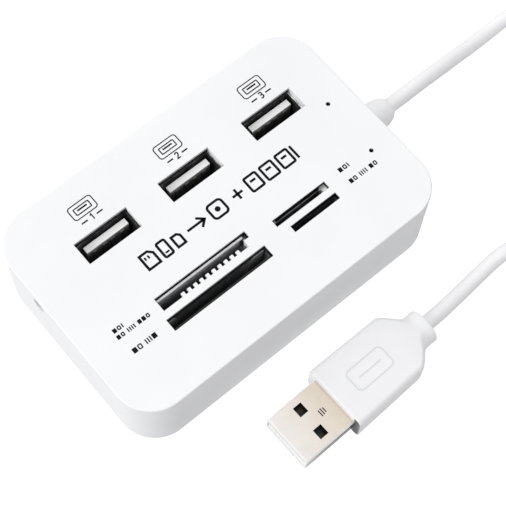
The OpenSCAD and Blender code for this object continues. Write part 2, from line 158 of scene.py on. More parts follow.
MAT = {
    "case": moulded("case_white", (0.80, 0.803, 0.815), (0.83, 0.833, 0.842), rough=(0.38, 0.46)),
    "cover": moulded("cover_white", (0.77, 0.775, 0.79), (0.80, 0.803, 0.815), rough=(0.42, 0.52), bump=0.09),
    "cord": moulded("cord_white", (0.84, 0.84, 0.845), (0.88, 0.88, 0.88), rough=(0.36, 0.48), grain=5000, bump=0.08),
    "plug": moulded("plug_white", (0.88, 0.88, 0.89), (0.92, 0.92, 0.925), rough=(0.4, 0.5), grain=7000, bump=0.07),
    "tongue": moulded("tongue_white", (0.93, 0.93, 0.925), (0.97, 0.97, 0.965), rough=(0.4, 0.5)),
    "black": moulded("black_plastic", (0.014, 0.014, 0.016), (0.032, 0.032, 0.035), rough=(0.4, 0.6), spec=0.35),
    "small": moulded("small_black", (0.03, 0.03, 0.033), (0.15, 0.15, 0.16), rough=(0.4, 0.6), spec=0.35, cloud=1100.0, span=(0.38, 0.62)),
    # near-black material standing in for the shade in the pin-holes and at the notch's end: painted shade
    "lens": moulded("hole_shade_black", (0.001, 0.001, 0.0012), (0.003, 0.003, 0.0035), rough=(0.6, 0.7), spec=0.08),
    "shade_wall": moulded("shade_wall_black", (0.004, 0.004, 0.005), (0.03, 0.03, 0.033), rough=(0.5, 0.7), spec=0.2, cloud=1000.0, span=(0.4, 0.66)),
    "chip": moulded("chip_black", (0.012, 0.012, 0.013), (0.03, 0.03, 0.03), rough=(0.5, 0.7), grain=12000, bump=0.15),
    "board": moulded("board_green", (0.005, 0.07, 0.032), (0.01, 0.12, 0.055), rough=(0.2, 0.4), grain=3000),
    "part": moulded("part_brown", (0.2, 0.12, 0.07), (0.34, 0.23, 0.14), rough=(0.5, 0.6)),
    "sheet": sheet_metal("sheet_metal", (0.55, 0.56, 0.57), (0.78, 0.78, 0.79)),
    "steel": sheet_metal("screw_steel", (0.42, 0.42, 0.43), (0.6, 0.6, 0.61)),
    "gold": sheet_metal("contact_gold", (0.55, 0.36, 0.1), (0.8, 0.58, 0.22)),
    # near-black metal for the contacts deep in the slots and plug and for the shell's stamp, as painted shade
    "dim": sheet_metal("contact_dim", (0.02, 0.018, 0.014), (0.09, 0.075, 0.05), rough=(0.3, 0.5)),
    "red": moulded("wire_red", (0.45, 0.01, 0.01), (0.6, 0.03, 0.02)),
    "wwhite": moulded("wire_white", (0.7, 0.7, 0.68), (0.82, 0.82, 0.8)),
    "green": moulded("wire_green", (0.01, 0.22, 0.05), (0.03, 0.33, 0.09)),
    "wblack": moulded("wire_black", (0.01, 0.01, 0.01), (0.03, 0.03, 0.03)),
    "bright": moulded("painted_light_white", (0.93, 0.93, 0.935), (0.97, 0.97, 0.97), rough=(0.4, 0.5)),
    "tie": moulded("tie_white", (0.6, 0.6, 0.6), (0.72, 0.72, 0.72), rough=(0.4, 0.55)),
}
ink, nt, b = new_material("ink_black")
co = nt.nodes.new("ShaderNodeTexCoord")
wear = add(nt, "ShaderNodeTexNoise", in_Scale=2500.0, in_Detail=3.0)
nt.links.new(co.outputs["Object"], wear.inputs["Vector"])
c = ramp(nt, wear.outputs["Fac"], [(0.35, (0.002, 0.002, 0.0025)), (0.75, (0.009, 0.009, 0.01))])
nt.links.new(c.outputs["Color"], b.inputs["Base Color"])
b.inputs["Roughness"].default_value = 0.6
b.inputs["Specular IOR Level"].default_value = 0.12
MAT["ink"] = ink

# the LED resin is painted almost black so the pin-holes read dark, as painted shade
resin, nt, b = new_material("indicator_resin")
co = nt.nodes.new("ShaderNodeTexCoord")
n = add(nt, "ShaderNodeTexNoise", in_Scale=900.0)
nt.links.new(co.outputs["Object"], n.inputs["Vector"])
c = ramp(nt, n.outputs["Fac"], [(0.3, (0.008, 0.009, 0.01)), (0.7, (0.03, 0.032, 0.035))])
nt.links.new(c.outputs["Color"], b.inputs["Base Color"])
b.inputs["Roughness"].default_value = 0.25
MAT["resin"] = resin



def axis_value(nt_, direction, offset=0.0):
    """Distance in millimetres along a fixed direction of the object."""
    co_ = nt_.nodes.new("ShaderNodeTexCoord")
    dot = nt_.nodes.new("ShaderNodeVectorMath")
    dot.operation = "DOT_PRODUCT"
    nt_.links.new(co_.outputs["Object"], dot.inputs[0])
    dot.inputs[1].default_value = tuple(1000.0 * v_ for v_ in direction)
    sub = nt_.nodes.new("ShaderNodeMath")
    sub.operation = "SUBTRACT"
    nt_.links.new(dot.outputs["Value"], sub.inputs[0])
    sub.inputs[1].default_value = offset
    return sub.outputs[0]


def between(nt_, value, lo, hi):
    mr_ = nt_.nodes.new("ShaderNodeMapRange")
    mr_.inputs["From Min"].default_value = lo
    mr_.inputs["From Max"].default_value = hi
    nt_.links.new(value, mr_.inputs["Value"])
    return mr_.outputs["Result"]


def along(nt_, value, stops):
    """A colour ramp whose stops are given in millimetres."""
    lo, hi = stops[0][0], stops[-1][0]
    return ramp(nt_, between(nt_, value, lo, hi), [((x_ - lo) / (hi - lo), c_) for x_, c_ in stops]).outputs["Color"]


def blend(nt_, fac, a_, b_):
    mx = nt_.nodes.new("ShaderNodeMix")
    mx.data_type = "RGBA"
    nt_.links.new(fac, mx.inputs[0])
    nt_.links.new(a_, mx.inputs[6])
    nt_.links.new(b_, mx.inputs[7])
    return mx.outputs[2]


def tint(nt_, mat_, colour):
    """Gives a material a colour that varies over the piece, with its own cloudiness kept."""
    b_ = nt_.nodes.get("Principled BSDF")
    old = b_.inputs["Base Color"].links[0].from_socket
    mx = nt_.nodes.new("ShaderNodeMix")
    mx.data_type = "RGBA"
    mx.blend_type = "MULTIPLY"
    mx.inputs[0].default_value = 1.0
    nt_.links.new(old, mx.inputs[6])
    nt_.links.new(colour, mx.inputs[7])
    nt_.links.new(mx.outputs[2], b_.inputs["Base Color"])


def grey(v_):
    return (v_, v_, v_)


X, Y, Z = (1, 0, 0), (0, 1, 0), (0, 0, 1)

# the tongues are bright on top and painted darker down their sides with depth, as painted shade
t = MAT["tongue"].node_tree
tint(t, MAT["tongue"], along(t, axis_value(t, Z), [(13.0, grey(0.08)), (14.4, grey(0.13)), (15.2, grey(0.24)), (15.8, grey(0.5)), (16.25, grey(0.9)), (16.5, grey(1.0))]))

MAT["pins"] = moulded("pin_metal", (0.5, 0.47, 0.42), (0.8, 0.77, 0.7), rough=(0.3, 0.45), cloud=1200.0)
MAT["pins"].node_tree.nodes["Principled BSDF"].inputs["Metallic"].default_value = 0.2
# the contact pins are painted darker downwards from their tops, as painted shade
t = MAT["pins"].node_tree
tint(t, MAT["pins"], along(t, axis_value(t, Z), [(13.0, grey(0.1)), (14.4, grey(0.15)), (15.2, grey(0.27)), (15.8, grey(0.5)), (16.5, grey(0.9))]))

# the receptacles' shells, with faint cloudy stains; painted light makes them paler to the left and on the far wall,
# painted shade darker elsewhere
for number, centre, far, from_ in ((1, -20.6, 0.1, 6.3), (2, 0.95, 0.95, 6.42), (3, 23.2, 1.0, 6.25)):
    key_ = "port%d" % number
    MAT[key_] = moulded("port_metal_%d" % number, (0.3, 0.3, 0.31), (1.0, 1.0, 1.0), rough=(0.3, 0.5), grain=4000, bump=0.05, cloud=900.0, span=(0.4, 0.64))
    MAT[key_].node_tree.nodes["Principled BSDF"].inputs["Metallic"].default_value = 0.3
    t = MAT[key_].node_tree
    body_ = along(t, axis_value(t, X, centre), [(-6.6, grey(0.4)), (-5.6, grey(0.3)), (-4.6, grey(0.13)), (4.0, grey(0.12)), (6.7, grey(0.08))])
    brow = t.nodes.new("ShaderNodeMath")
    brow.operation = "MULTIPLY"
    t.links.new(between(t, axis_value(t, Z), 16.9, 17.1), brow.inputs[0])
    t.links.new(between(t, axis_value(t, X, centre), from_, from_ + 0.05), brow.inputs[1])
    lit_far_wall = along(t, axis_value(t, X, centre), [(-7, grey(far)), (7, grey(far))])
    tint(t, MAT[key_], blend(t, brow.outputs[0], body_, lit_far_wall))

# the housing of the wide slots, painted paler at the wide slot's far end as painted light, and painted darker along
# most of its length as painted shade, lighter towards the far end
MAT["housing"] = moulded("housing_black", (0.45, 0.45, 0.47), (1.0, 1.0, 1.0), rough=(0.4, 0.6), spec=0.35, cloud=800.0, span=(0.36, 0.64))
t = MAT["housing"].node_tree
end = between(t, axis_value(t, X), 2.25, 2.35)
pale = along(t, axis_value(t, Y), [(-14.1, grey(0.6)), (-13.2, grey(0.42)), (-12.2, grey(0.22)), (-11.4, grey(0.08)), (-11.2, grey(0.06))])
plain = along(t, axis_value(t, X), [(-23, grey(0.15)), (-21, grey(0.13)), (-5, grey(0.13)), (-2, grey(0.25)), (1, grey(0.4)), (2.3, grey(0.5))])
tint(t, MAT["housing"], blend(t, end, plain, pale))

# linings of the wide slots, with painted light and shade: bright at the top of the second slot and darker with depth,
# dull in the widest and lighter towards its far end
MAT["lining"] = moulded("lining_metal", (0.72, 0.73, 0.74), (1.0, 1.0, 1.0), rough=(0.35, 0.5), grain=4000, bump=0.06, cloud=700.0, span=(0.36, 0.6))
MAT["lining"].node_tree.nodes["Principled BSDF"].inputs["Metallic"].default_value = 0.1
t = MAT["lining"].node_tree
zz, yy = axis_value(t, Z), axis_value(t, Y)
second = along(t, zz, [(11, grey(0.2)), (14.2, grey(0.35)), (15.4, grey(0.5)), (16.4, grey(0.7)), (17.2, grey(0.9)), (18.0, grey(1.0)), (18.3, grey(1.0))])
rests = along(t, zz, [(12, grey(0.1)), (15, grey(0.22)), (16.6, grey(0.4)), (17.3, grey(0.5))])
widest_light_and_shade = along(t, axis_value(t, X), [(-23, grey(0.13)), (-5, grey(0.11)), (-2, grey(0.22)), (1, grey(0.3)), (2.3, grey(0.4))])
widest_light_and_shade = blend(t, between(t, zz, 17.8, 18.0), widest_light_and_shade, along(t, zz, [(17, grey(0.035)), (18.3, grey(0.035))]))
low = blend(t, between(t, yy, -12.6, -12.4), widest_light_and_shade, rests)
tint(t, MAT["lining"], blend(t, between(t, yy, -8.6, -8.4), low, second))

# linings and end tabs of the small slots, with painted light and shade: a bright right tab, a dark left tab, and a dark
# band just before the bright far end
MAT["tabs"] = moulded("tab_metal", (0.4, 0.405, 0.41), (1.0, 1.0, 1.0), rough=(0.35, 0.5), grain=4000, bump=0.06, cloud=1000.0, span=(0.4, 0.6))
MAT["tabs"].node_tree.nodes["Principled BSDF"].inputs["Metallic"].default_value = 0.25
t = MAT["tabs"].node_tree
xx, yy = axis_value(t, X), axis_value(t, Y)
left_tab = along(t, yy, [(-9.0, grey(0.03)), (-8.75, grey(0.12)), (-8.2, grey(0.5))])
right_tab = along(t, yy, [(-9.7, grey(1.0)), (-9.0, grey(0.8)), (-8.4, grey(0.4)), (-8.1, grey(0.35))])
middle = along(t, xx, [(7, grey(0.13)), (12, grey(0.2)), (16, grey(0.17)), (18.6, grey(0.06)), (19.25, grey(0.06)), (19.5, grey(0.8)), (20, grey(1.0))])
tint(t, MAT["tabs"], blend(t, between(t, xx, 19.7, 19.85), blend(t, between(t, xx, 7.95, 7.8), middle, left_tab), right_tab))

# the overmould, painted a little darker on its top as painted shade, and with a painted shadow on its nose beside the
# shell
AX = (math.cos(math.radians(1.5)), math.sin(math.radians(1.5)), 0)
AY = (-AX[1], AX[0], 0)
U0 = -4.8 * AX[0] - 42.5 * AX[1]
V0 = -4.8 * AY[0] - 42.5 * AY[1]
t = MAT["plug"].node_tree
shaded_top = along(t, axis_value(t, Z), [(0, grey(1.0)), (7.0, grey(1.0)), (7.9, grey(0.885)), (8.2, grey(0.885))])
nose_shadow_mask = t.nodes.new("ShaderNodeMath")
nose_shadow_mask.operation = "MULTIPLY"
t.links.new(between(t, axis_value(t, AX, U0), 0.12, 0.02), nose_shadow_mask.inputs[0])
t.links.new(between(t, axis_value(t, AY, V0), -5.6, -6.1), nose_shadow_mask.inputs[1])
nose_shadow = along(t, axis_value(t, AY, V0), [(-7.7, grey(0.3)), (-6.9, grey(0.12)), (-6.0, grey(0.07))])
tint(t, MAT["plug"], blend(t, nose_shadow_mask.outputs[0], shaded_top, nose_shadow))

# the plug's shell, painted warmer and darker towards the overmould as painted shade, with painted highlights along its
# bent edges and painted shade low on its side
MAT["plugmetal"] = sheet_metal("plug_metal", (0.95, 0.945, 0.94), (1.0, 1.0, 1.0), rough=(0.16, 0.26), scale=(80.0, 1500.0, 900.0), bump=0.03)
t = MAT["plugmetal"].node_tree
uu, vv = axis_value(t, AX, U0), axis_value(t, AY, V0)
length = along(t, uu, [(-13.1, (0.98, 0.975, 0.965)), (-12.7, (0.97, 0.965, 0.955)), (-12.4, (0.91, 0.875, 0.845)), (-8.5, (0.89, 0.835, 0.78)),
                       (-4.0, (0.84, 0.765, 0.675)), (-0.6, (0.79, 0.705, 0.585)), (0.0, (0.7, 0.62, 0.52))])
edge_highlight = along(t, uu, [(-13.1, (0.99, 0.99, 0.98)), (0.0, (0.96, 0.955, 0.94))])
edges = t.nodes.new("ShaderNodeMath")
edges.operation = "ABSOLUTE"
t.links.new(vv, edges.inputs[0])
shade = along(t, uu, [(-13.1, (0.9, 0.88, 0.86)), (-12.3, (0.6, 0.54, 0.48)), (-9.0, (0.3, 0.24, 0.18)), (-5.0, (0.1, 0.08, 0.06)), (0.0, (0.01, 0.01, 0.01))])
highlit_rim = blend(t, between(t, edges.outputs[0], 5.6, 5.78), length, edge_highlight)
side_shade_mask = t.nodes.new("ShaderNodeMath")
side_shade_mask.operation = "MULTIPLY"
t.links.new(between(t, axis_value(t, Z), 5.6, 5.4), side_shade_mask.inputs[0])
t.links.new(between(t, vv, -5.8, -5.95), side_shade_mask.inputs[1])
tint(t, MAT["plugmetal"], blend(t, side_shade_mask.outputs[0], highlit_rim, shade))
plain_edge = t.nodes.new("ShaderNodeMapRange")
for k_, v_ in (("From Min", 5.5), ("From Max", 5.7), ("To Min", 1.0), ("To Max", 0.2)):
    plain_edge.inputs[k_].default_value = v_
t.links.new(edges.outputs[0], plain_edge.inputs["Value"])
t.links.new(plain_edge.outputs["Result"], t.nodes["Principled BSDF"].inputs["Metallic"])

# the block inside the plug, pale at its nose and painted near-black further in, as painted shade inside the shell
MAT["nose"] = moulded("plug_block", (0.85, 0.85, 0.85), (1.0, 1.0, 1.0), rough=(0.4, 0.55))
t = MAT["nose"].node_tree
tint(t, MAT["nose"], along(t, axis_value(t, AX, U0), [(-13.1, grey(1.0)), (-11.75, grey(1.0)), (-11.6, grey(0.012)), (3.0, grey(0.008))]))

for name, key in {
    "top_shell": "case", "bottom_cover": "cover", "case_screws": "steel", "circuit_board": "board",
    "port_shell_1": "port1", "port_shell_2": "port2", "port_shell_3": "port3",
    "port_tongue_1": "tongue", "port_tongue_2": "tongue", "port_tongue_3": "tongue",
    "port_contacts_1": "pins", "port_contacts_2": "pins", "port_contacts_3": "pins",
    "card_housing": "housing", "card_shield": "lining", "card_contacts": "dim",
    "small_card_housing": "small", "small_card_shield": "tabs", "small_card_contacts": "dim",
    "indicator_a": "resin", "indicator_b": "resin", "indicator_leads": "sheet",
    "inlet_block": "black", "inlet_pin": "sheet", "hub_chip": "chip", "card_chip": "chip",
    "crystal_can": "sheet", "can_capacitor": "sheet", "chip_parts": "part",
    "strain_relief": "cord", "cord_inner_end": "cord",
    "wire_1": "red", "wire_2": "wwhite", "wire_3": "green", "wire_4": "wblack",
    "plug_shell": "plugmetal", "plug_insulator": "nose", "plug_contacts": "dim",
    "plug_overmould": "plug",
}.items():
    assign(nodes[name], MAT[key])

# ---------------------------------------------------------------- cord

lead_out = [
    (40, -0.3, 9.5), (44, -0.3, 9.5), (48, -0.3, 9.5), (51, -0.3, 9.45), (54, -0.2, 9.2), (57, 0, 8.7),
    (60, 0.2, 8), (63, 0.45, 7.1), (66, 0.75, 6.1), (69, 1.1, 5),
    (72, 1.4, 4), (75, 1.65, 3.1), (78, 1.9, 2.4), (81, 2.1, 1.9),
    (84, 2.25, 1.7), (87, 2.3, 1.7), (90, 2.05, 1.7), (93, 1.15, 1.7),
    (96, -0.55, 1.7), (99, -3.15, 1.7), (101.5, -6.4, 1.7), (103.4, -10.2, 1.7),
    (104.8, -14.4, 1.7), (105.8, -19, 1.7), (106.4, -24, 1.7), (106.7, -29, 1.7)]
lead_in = [
    (81, -57.6, 5.2), (78, -57.2, 5.1), (75, -56.4, 4.8),
    (72, -55.2, 4.2), (69, -53.6, 3.5), (66, -51.7, 2.7), (63, -49.5, 2.1),
    (60, -47.2, 1.8), (57, -44.9, 1.7), (54, -42.8, 1.7), (51, -41.2, 1.7),
    (48, -40.3, 1.7), (45, -40.05, 1.7), (42, -40.1, 1.7), (39, -40.35, 1.7),
    (36, -40.6, 1.75), (33, -40.9, 2), (30, -41.2, 2.5), (27, -41.5, 3.1),
    (24.5, -41.72, 3.75), (22, -41.79, 4), (21, -41.82, 4)]
CX, CY, CD = 86.0, -37.0, 3.4
R_OUT, R_IN, Z_LOW, Z_HIGH = 20.75, 17.25, 1.7, 5.2
TIE_AT = 200.0        # clockwise degrees from where the cord arrives
START = math.degrees(math.atan2(3.0, 20.75))


def smooth(t):
    t = max(0.0, min(1.0, t))
    return t * t * (3 - 2 * t)


def coil_point(phi):
    """A point on the coil, phi degrees clockwise from where the cord arrives."""
    r = R_OUT + (R_IN - R_OUT) * smooth((phi - 312) / 48)
    r += (R_OUT - R_IN) * smooth((phi - 720 - 225) / 48)
    z = Z_LOW + (Z_HIGH - Z_LOW) * smooth((phi - 360 - 265) / 52)
    near = abs((phi % 360) - TIE_AT)
    z += 0.5 * (1 - smooth(near / 30))
    a = math.radians(START - phi)
    return (CX + r * math.cos(a), CY + r * math.sin(a), z)


TURN_END = 3 * 360 + 98
coil = [coil_point(k * TURN_END / 80) for k in range(81)]
route = lead_out + coil + lead_in
cu = bpy.data.curves.new("cord", "CURVE")
cu.dimensions = "3D"
cu.bevel_depth = CD / 2 * MM
cu.bevel_resolution = 8
cu.resolution_u = 8
cu.use_fill_caps = True
sp = cu.splines.new("BEZIER")
sp.bezier_points.add(len(route) - 1)
for bp_, p in zip(sp.bezier_points, route):
    bp_.co = mm(*p)
    bp_.handle_left_type = bp_.handle_right_type = "AUTO"
cord = link(bpy.data.objects.new("cord", cu))
cu.materials.append(MAT["cord"])
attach(cord, "root")
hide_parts("cord_lead_out", "cord_coil", "cord_lead_in")

# ---------------------------------------------------------------- mesh helpers


def mesh_object(name, bm, mat, smooth_angle=None):
    bmesh.ops.recalc_face_normals(bm, faces=bm.faces)
    me = bpy.data.meshes.new(name)
    bm.to_mesh(me)
    bm.free()
    ob = link(bpy.data.objects.new(name, me))
    me.materials.append(mat)
    if smooth_angle is not None:
        me.shade_smooth()
        me.set_sharp_from_angle(angle=math.radians(smooth_angle))
    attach(ob, "root")
    return ob


def loft(bm, rings, close_start=True, close_end=True):
    """Joins rings of equal length into a tube and returns its vertex rings."""
    vs = [[bm.verts.new(p) for p in ring] for ring in rings]
    n = len(vs[0])
    for a, c_ in zip(vs, vs[1:]):
        for k in range(n):
            bm.faces.new((a[k], a[(k + 1) % n], c_[(k + 1) % n], c_[k]))
    if close_start:
        bm.faces.new(list(reversed(vs[0])))
    if close_end:
        bm.faces.new(vs[-1])
    return vs


# ---------------------------------------------------------------- plug

PLUG_T = Matrix.Translation(mm(-4.8, -42.5, 4.0)) @ Matrix.Rotation(math.radians(1.5), 4, "Z")


def rounded(hw, hh, r, n=8):
    """Points round a rectangle with rounded corners in the plane across the plug."""
    pts = []
    for cx, cy, a0 in ((1, 1, 0), (-1, 1, 90), (-1, -1, 180), (1, -1, 270)):
        for k in range(n + 1):
            a = math.radians(a0 + 90 * k / n)
            pts.append((cx * (hw - r) + r * math.cos(a), cy * (hh - r) + r * math.sin(a)))
    return pts


def plug_body():
    bm = bmesh.new()
    # along the plug: half width, half height, corner radius
    stations = [
        (0.0, 7.45, 3.75, 0.95), (0.03, 7.57, 3.87, 1.05), (0.1, 7.66, 3.95, 1.12), (0.25, 7.70, 4.0, 1.15),
        (0.7, 7.69, 4.0, 1.15), (3.0, 7.64, 4.0, 1.15), (6.0, 7.57, 4.0, 1.15), (9.0, 7.51, 4.0, 1.15),
        (12.0, 7.44, 4.0, 1.15), (15.0, 7.37, 4.0, 1.15), (17.4, 7.32, 4.0, 1.15), (18.0, 7.27, 4.0, 1.15),
        (18.4, 7.13, 4.0, 1.17), (18.9, 6.80, 4.0, 1.2), (19.6, 6.20, 3.99, 1.3), (20.4, 5.48, 3.98, 1.45),
        (21.1, 4.86, 3.96, 1.7), (21.7, 4.36, 3.93, 2.1), (22.2, 4.07, 3.9, 2.5), (22.7, 3.93, 3.87, 2.9),
        (23.2, 3.86, 3.84, 3.3), (23.9, 3.84, 3.84, 3.6), (24.6, 3.88, 3.88, 3.78), (25.1, 3.93, 3.93, 3.88),
        (25.45, 3.95, 3.95, 3.93), (25.66, 3.93, 3.93, 3.91), (25.76, 3.86, 3.86, 3.84), (25.8, 3.76, 3.76, 3.74),
        (25.8, 2.1, 2.1, 2.08), (25.7, 1.86, 1.86, 1.84), (25.2, 1.75, 1.75, 1.73)]
    rings = [[PLUG_T @ mm(x, y, z) for y, z in rounded(hw, hh, r)] for x, hw, hh, r in stations]
    loft(bm, rings, close_start=True, close_end=True)
    return bm


body = mesh_object("plug_body", plug_body(), MAT["plug"], 40)
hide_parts("plug_overmould")


def plug_skin():
    """The folded sheet-metal shell of the plug, with its windows."""
    bm = bmesh.new()
    x0, x1 = -13.1, 2.4
    hw, hh, t = 6.0, 2.25, 0.3
    # the profile across the shell, as flat spans and corner arcs
    r = 0.55
    n = 6
    out = []
    wy = (3.02 - 1.2, 3.02 + 1.2)
    ys = [hw - r, wy[1], wy[0], -wy[0], -wy[1], -(hw - r)]
    def arc(cx, cz, a0):
        return [(cx + r * math.cos(math.radians(a0 + 90 * k / n)), cz + r * math.sin(math.radians(a0 + 90 * k / n))) for k in range(n + 1)]
    out += arc(hw - r, hh - r, 0)
    out += [(y, hh) for y in ys[1:-1]]
    out += arc(-(hw - r), hh - r, 90)
    out += arc(-(hw - r), -(hh - r), 180)
    out += [(-y, -hh) for y in ys[1:-1]]
    out += arc(hw - r, -(hh - r), 270)
    wx = (-13.1 + 6.6 - 1.05, -13.1 + 6.6 + 1.05)
    xs = [(x0, 0.30), (x0 + 0.06, 0.12), (x0 + 0.2, 0.03), (x0 + 0.45, 0.0), (wx[0], 0), (wx[1], 0), (-2.0, 0), (x1, 0)]

    def inset(p, d):
        y, z = p
        return (y - math.copysign(min(d, abs(y)), y) * (1 if abs(y) > hw - r - 1e-6 else 0), z - math.copysign(d, z) * (1 if abs(z) > hh - r - 1e-6 else 0))

    n_p = len(out)
    outer = [[bm.verts.new(PLUG_T @ mm(x, *inset(p, d))) for p in out] for x, d in xs]
    inner = [[bm.verts.new(PLUG_T @ mm(x, *inset(p, t + 0.0 * d))) for p in out] for x, d in xs]
    top_win = []
    for k in range(n_p):
        y0, z0 = out[k]
        y1, z1 = out[(k + 1) % n_p]
        flat = abs(abs(z0) - hh) < 1e-6 and abs(abs(z1) - hh) < 1e-6
        mid = abs((y0 + y1) / 2)
        if flat and abs(mid - 3.02) < 0.3:
            top_win.append(k)
    for i in range(len(xs) - 1):
        for k in range(n_p):
            k2 = (k + 1) % n_p
            if i == 4 and k in top_win:
                # the four sides of the window
                bm.faces.new((outer[i][k], outer[i][k2], inner[i][k2], inner[i][k]))
                bm.faces.new((outer[i + 1][k2], outer[i + 1][k], inner[i + 1][k], inner[i + 1][k2]))
                bm.faces.new((outer[i + 1][k], outer[i][k], inner[i][k], inner[i + 1][k]))
                bm.faces.new((outer[i][k2], outer[i + 1][k2], inner[i + 1][k2], inner[i][k2]))
                continue
            bm.faces.new((outer[i][k], outer[i + 1][k], outer[i + 1][k2], outer[i][k2]))
            bm.faces.new((inner[i][k], inner[i][k2], inner[i + 1][k2], inner[i + 1][k]))
    for i, flip in ((0, False), (len(xs) - 1, True)):
        for k in range(n_p):
            k2 = (k + 1) % n_p
            f = (outer[i][k], outer[i][k2], inner[i][k2], inner[i][k])
            bm.faces.new(f if not flip else tuple(reversed(f)))
    return bm


skin = mesh_object("plug_skin", plug_skin(), MAT["plugmetal"], 35)
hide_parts("plug_shell")

# ---------------------------------------------------------------- tie on the coil


def tie_mesh():
    bm = bmesh.new()
    a = math.radians(START - TIE_AT)
    centre = Vector((CX + 19 * math.cos(a), CY + 19 * math.sin(a), 3.95))
    rad = Vector((math.cos(a), math.sin(a), 0))
    tan = Vector((-math.sin(a), math.cos(a), 0))
    up = Vector((0, 0, 1))
    loop = rounded(3.62, 3.62, 1.9, 8)
    n = len(loop)
    rings = []
    for (u, v) in loop:
        d = Vector((u, v)).normalized()
        ring = []
        for s, o in ((-1.5, 0.0), (-1.5, 0.28), (-1.1, 0.36), (1.1, 0.36), (1.5, 0.28), (1.5, 0.0)):
            ring.append((centre + rad * (u + d.x * o) + up * min(max(v + d.y * o, -3.9), 3.98) + tan * s) * MM)
        rings.append(ring)
    rings.append(rings[0])
    vs = [[bm.verts.new(p) for p in r_] for r_ in rings[:-1]]
    vs.append(vs[0])
    for p, q in zip(vs, vs[1:]):
        for k in range(6):
            bm.faces.new((p[k], p[(k + 1) % 6], q[(k + 1) % 6], q[k]))
    # the two ends twisted round each other
    base = centre - rad * 3.7
    for phase in (0, math.pi):
        pts = []
        for k in range(41):
            t = k / 40
            w = 0.55
            ang = phase + t * 2 * math.pi * 2.2
            pts.append((base - rad * (0.2 + 7.5 * t) + (tan * math.cos(ang) + up * math.sin(ang)) * w + up * (-1.6 * t)) * MM)
        rings = []
        for i, p in enumerate(pts):
            d = (pts[min(i + 1, 40)] - pts[max(i - 1, 0)]).normalized()
            u_ = d.cross(up).normalized()
            v_ = u_.cross(d)
            rings.append([p + (u_ * math.cos(2 * math.pi * k / 8) * 0.55 + v_ * math.sin(2 * math.pi * k / 8) * 0.4) * MM for k in range(8)])
        loft(bm, rings)
    return bm


tie = mesh_object("cord_tie", tie_mesh(), MAT["tie"], 40)

# ---------------------------------------------------------------- near-black walls in the windows, as painted shade


def wall_box(bm_, x0, x1, y0, y1, z0, z1):
    v = [bm_.verts.new((x * MM, y * MM, z * MM)) for z in (z0, z1) for x, y in ((x0, y0), (x1, y0), (x1, y1), (x0, y1))]
    bm_.faces.new((v[3], v[2], v[1], v[0]))
    bm_.faces.new((v[4], v[5], v[6], v[7]))
    for k in range(4):
        j = (k + 1) % 4
        bm_.faces.new((v[k], v[j], v[4 + j], v[4 + k]))


def shade_wall(name, x0, x1, y0, y1, tops, mat):
    """Thin near-black walls just inside a window, as painted shade; tops gives their heights at +Y, -X, +X and -Y, or
    None.
    """
    bm_ = bmesh.new()
    g, t_, z0 = 0.012, 0.09, 17.27
    up, left, right_, low_ = tops
    if up:
        wall_box(bm_, x0 + g, x1 - g, y1 - t_, y1 - g, z0, up)
    if left:
        wall_box(bm_, x0 + g, x0 + t_, y0 + t_ + 0.01, y1 - t_ - 0.01, z0, left)
    if right_:
        wall_box(bm_, x1 - t_, x1 - g, y0 + t_ + 0.01, y1 - t_ - 0.01, z0, right_)
    if low_:
        wall_box(bm_, x0 + g, x1 - g, y0 + g, y0 + t_, z0, low_)
    return mesh_object(name, bm_, mat)


for k, wx_ in enumerate((-20.6, 0.95, 23.2)):
    shade_wall("port_liner_%d" % (k + 1), wx_ - 6.65, wx_ + 6.65, 10.6 - 2.75, 10.6 + 2.75, (18.28, 18.6, 17.7 if k == 0 else None, 18.6), MAT["shade_wall"])
    # a brighter white copy of the case plastic on each port's far wall, as painted light
    bm = bmesh.new()
    wall_box(bm, wx_ + 6.65 - 0.05, wx_ + 6.65 - 0.012, 10.6 - 2.2, 10.6 + 2.2, 17.8 if k == 0 else 17.3, 18.65)
    mesh_object("port_face_%d" % (k + 1), bm, MAT["bright"])
shade_wall("slot_shade_wall_a", -22.9, 2.5, -14.095, -11.145, (18.4, 18.8, 18.75, 18.8), MAT["shade_wall"])
shade_wall("slot_shade_wall_b", -22.005, 1.345, -9.41, -6.16, (18.5, 18.8, None, None), MAT["shade_wall"])
shade_wall("slot_shade_wall_c", 7.12, 21.22, -9.775, -8.025, (18.7, None, 18.75, 18.8), MAT["shade_wall"])
shade_wall("slot_shade_wall_d", 9.255, 21.405, -12.995, -11.345, (18.7, 18.8, 18.7, 18.8), MAT["shade_wall"])


def bead_mesh():
    """The rolled top edge of the second slot's lining, and its bent end in the notch."""
    bm_ = bmesh.new()
    rings = []
    for x, s_ in ((-21.85, 0.55), (-21.79, 0.9), (-21.65, 1.0), (-16, 1.0), (-10, 1.0), (-5, 1.0), (-0.4, 1.0), (0.2, 1.0), (0.31, 0.9), (0.36, 0.55)):
        rings.append([mm(x, -6.73 + 0.27 * s_ * math.cos(2 * math.pi * k_ / 16), 18.12 + 0.27 * s_ * math.sin(2 * math.pi * k_ / 16)) for k_ in range(16)])
    loft(bm_, rings)
    wall_box(bm_, -0.2, 0.34, -6.74, -6.52, 17.3, 17.98)
    wall_box(bm_, 0.25, 0.85, -7.7, -7.02, 17.3, 17.36)
    return bm_


MAT["bead"] = moulded("bead_metal", (0.58, 0.58, 0.59), (0.76, 0.76, 0.77), rough=(0.35, 0.5), grain=4000, bump=0.06)
mesh_object("lining_bead", bead_mesh(), MAT["bead"], 40)


def notch_shade():
    """Near-black sheet at the end of the notch beside the second slot, as painted shade."""
    bm_ = bmesh.new()
    wall_box(bm_, 1.345 - 0.09, 1.345 - 0.012, -7.68, -6.27, 17.3, 18.55)
    return bm_


mesh_object("notch_shade", notch_shade(), MAT["lens"])


